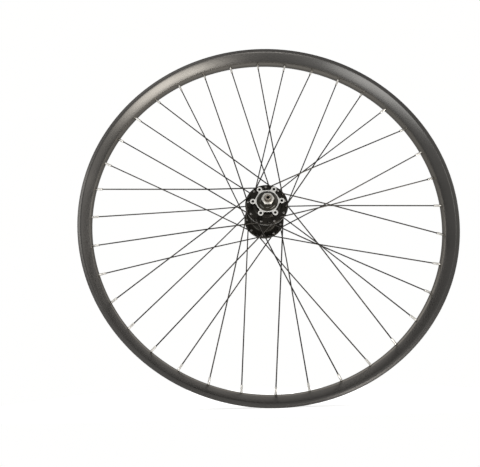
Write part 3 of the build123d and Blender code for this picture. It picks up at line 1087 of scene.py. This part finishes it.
class WHEEL_OT_stage(bpy.types.Operator):
    """Sets the pale floor, the white surround, the soft lamps and the camera"""

    bl_idname = "wheel.stage"
    bl_label = "Stage"

    def execute(self, context):
        self.floor(context)
        self.surround(context)
        for lamp in LAMPS:
            self.lamp(*lamp)
        self.camera(context)
        return {"FINISHED"}

    def floor(self, context):
        """A pale floor whose edges are lost in the white surround."""
        deselect()
        place = (0, FLOOR_BACK, -context.scene.rim_sizes.outer)
        bpy.ops.mesh.primitive_plane_add(size=1, location=place, scale=FLOOR_SIZE)
        floor = named(bpy.context.object, "floor")
        settle()
        material = bpy.data.materials.new("floor_white")
        nodes, links = self.emptied(material)
        output = node(nodes, "OutputMaterial")
        both = node(nodes, "AddShader")
        blend = node(nodes, "MixShader")
        paint = node(nodes, "BsdfDiffuse", Color=FLOOR_PAINT)
        glow = node(nodes, "Emission", Color=WHITE, Strength=FLOOR_GLOW)
        links.new(self.seen(nodes, links), blend.inputs["Fac"])
        links.new(glow.outputs[0], blend.inputs[2])
        links.new(paint.outputs[0], both.inputs[0])
        links.new(blend.outputs[0], both.inputs[1])
        links.new(both.outputs[0], output.inputs["Surface"])
        floor.data.materials.append(material)

    def emptied(self, owner):
        """The emptied nodes and links of a material or a world."""
        owner.use_nodes = True
        owner.node_tree.nodes.clear()
        return owner.node_tree.nodes, owner.node_tree.links

    def seen(self, nodes, links):
        """1 for the camera, and for what mirrors and glass show."""
        path = node(nodes, "LightPath").outputs
        mirrors = larger(nodes, links, path["Is Glossy Ray"], path["Is Transmission Ray"])
        return larger(nodes, links, path["Is Camera Ray"], mirrors)

    def surround(self, context):
        """White to the camera and in mirrors, and a dimmer fill light elsewhere."""
        world = bpy.data.worlds.new("white_surround")
        nodes, links = self.emptied(world)
        output = node(nodes, "OutputWorld")
        blend = node(nodes, "MixShader")
        fill = node(nodes, "Background", Color=FILL_COLOUR, Strength=FILL_STRENGTH)
        white = node(nodes, "Background", Color=WHITE, Strength=1.0)
        links.new(self.seen(nodes, links), blend.inputs["Fac"])
        links.new(fill.outputs[0], blend.inputs[1])
        links.new(white.outputs[0], blend.inputs[2])
        links.new(blend.outputs[0], output.inputs["Surface"])
        world.cycles.sampling_method = "NONE"
        context.scene.world = world
        context.scene.view_settings.view_transform = "Standard"

    def lamp(self, name, place, target, size, power, colour):
        bpy.ops.object.light_add(type="AREA", location=place)
        lamp = bpy.context.object
        lamp.name = name
        lamp.rotation_euler = (Vector(target) - Vector(place)).to_track_quat("-Z", "Y").to_euler()
        lamp.data.shape = "ELLIPSE"
        lamp.data.size, lamp.data.size_y = size
        lamp.data.energy = power
        lamp.data.color = colour
        lamp.visible_camera = False

    def camera(self, context):
        """The photograph's own view."""
        bpy.ops.object.camera_add()
        camera = bpy.context.object
        forward = Vector(CAMERA_FORWARD).normalized()
        right = forward.cross(Vector(CAMERA_UP)).normalized()
        up = right.cross(forward)
        turn = Matrix((right, up, -forward)).transposed()
        camera.matrix_world = Matrix.Translation(CAMERA_PLACE) @ turn.to_4x4()
        camera.data.sensor_width = SENSOR_WIDTH
        camera.data.lens = SENSOR_WIDTH * FOCAL_LENGTH / PICTURE_WIDTH
        camera.data.shift_x = (PICTURE_WIDTH / 2 - AXIS_X) / PICTURE_WIDTH
        camera.data.shift_y = (AXIS_Y - PICTURE_HEIGHT / 2) / PICTURE_WIDTH
        camera.data.clip_start = 0.01
        context.scene.camera = camera


class WHEEL_PT_panel(bpy.types.Panel):
    """The wheel's operators, sizes and colours"""

    bl_idname = "WHEEL_PT_panel"
    bl_label = "Front Disc Wheel"
    bl_space_type = "VIEW_3D"
    bl_region_type = "UI"
    bl_category = "Wheel"

    def draw(self, context):
        column = self.layout.column()
        for step in STEPS:
            column.operator(step.bl_idname)
        for name, group in GROUPS.items():
            box = self.layout.box()
            for value in group.__annotations__:
                box.prop(getattr(context.scene, name), value)


STEPS = (
    WHEEL_OT_rim,
    WHEEL_OT_spokes,
    WHEEL_OT_nipples,
    WHEEL_OT_hub,
    WHEEL_OT_dust_caps,
    WHEEL_OT_locknuts,
    WHEEL_OT_axle,
    WHEEL_OT_bearings,
    WHEEL_OT_stage,
)
GROUPS = {
    "rim_sizes": RimSizes,
    "spoke_sizes": SpokeSizes,
    "hub_sizes": HubSizes,
    "wheel_colours": WheelColours,
}


def register():
    for name, group in GROUPS.items():
        bpy.utils.register_class(group)
        setattr(bpy.types.Scene, name, PointerProperty(type=group))
    for part in (*STEPS, WHEEL_PT_panel):
        bpy.utils.register_class(part)


def unregister():
    for part in reversed((*STEPS, WHEEL_PT_panel)):
        bpy.utils.unregister_class(part)
    for name, group in GROUPS.items():
        delattr(bpy.types.Scene, name)
        bpy.utils.unregister_class(group)


def main():
    register()
    for step in STEPS:
        group, name = step.bl_idname.split(".")
        getattr(getattr(bpy.ops, group), name)()
    deselect()


if __name__ == "__main__":
    main()
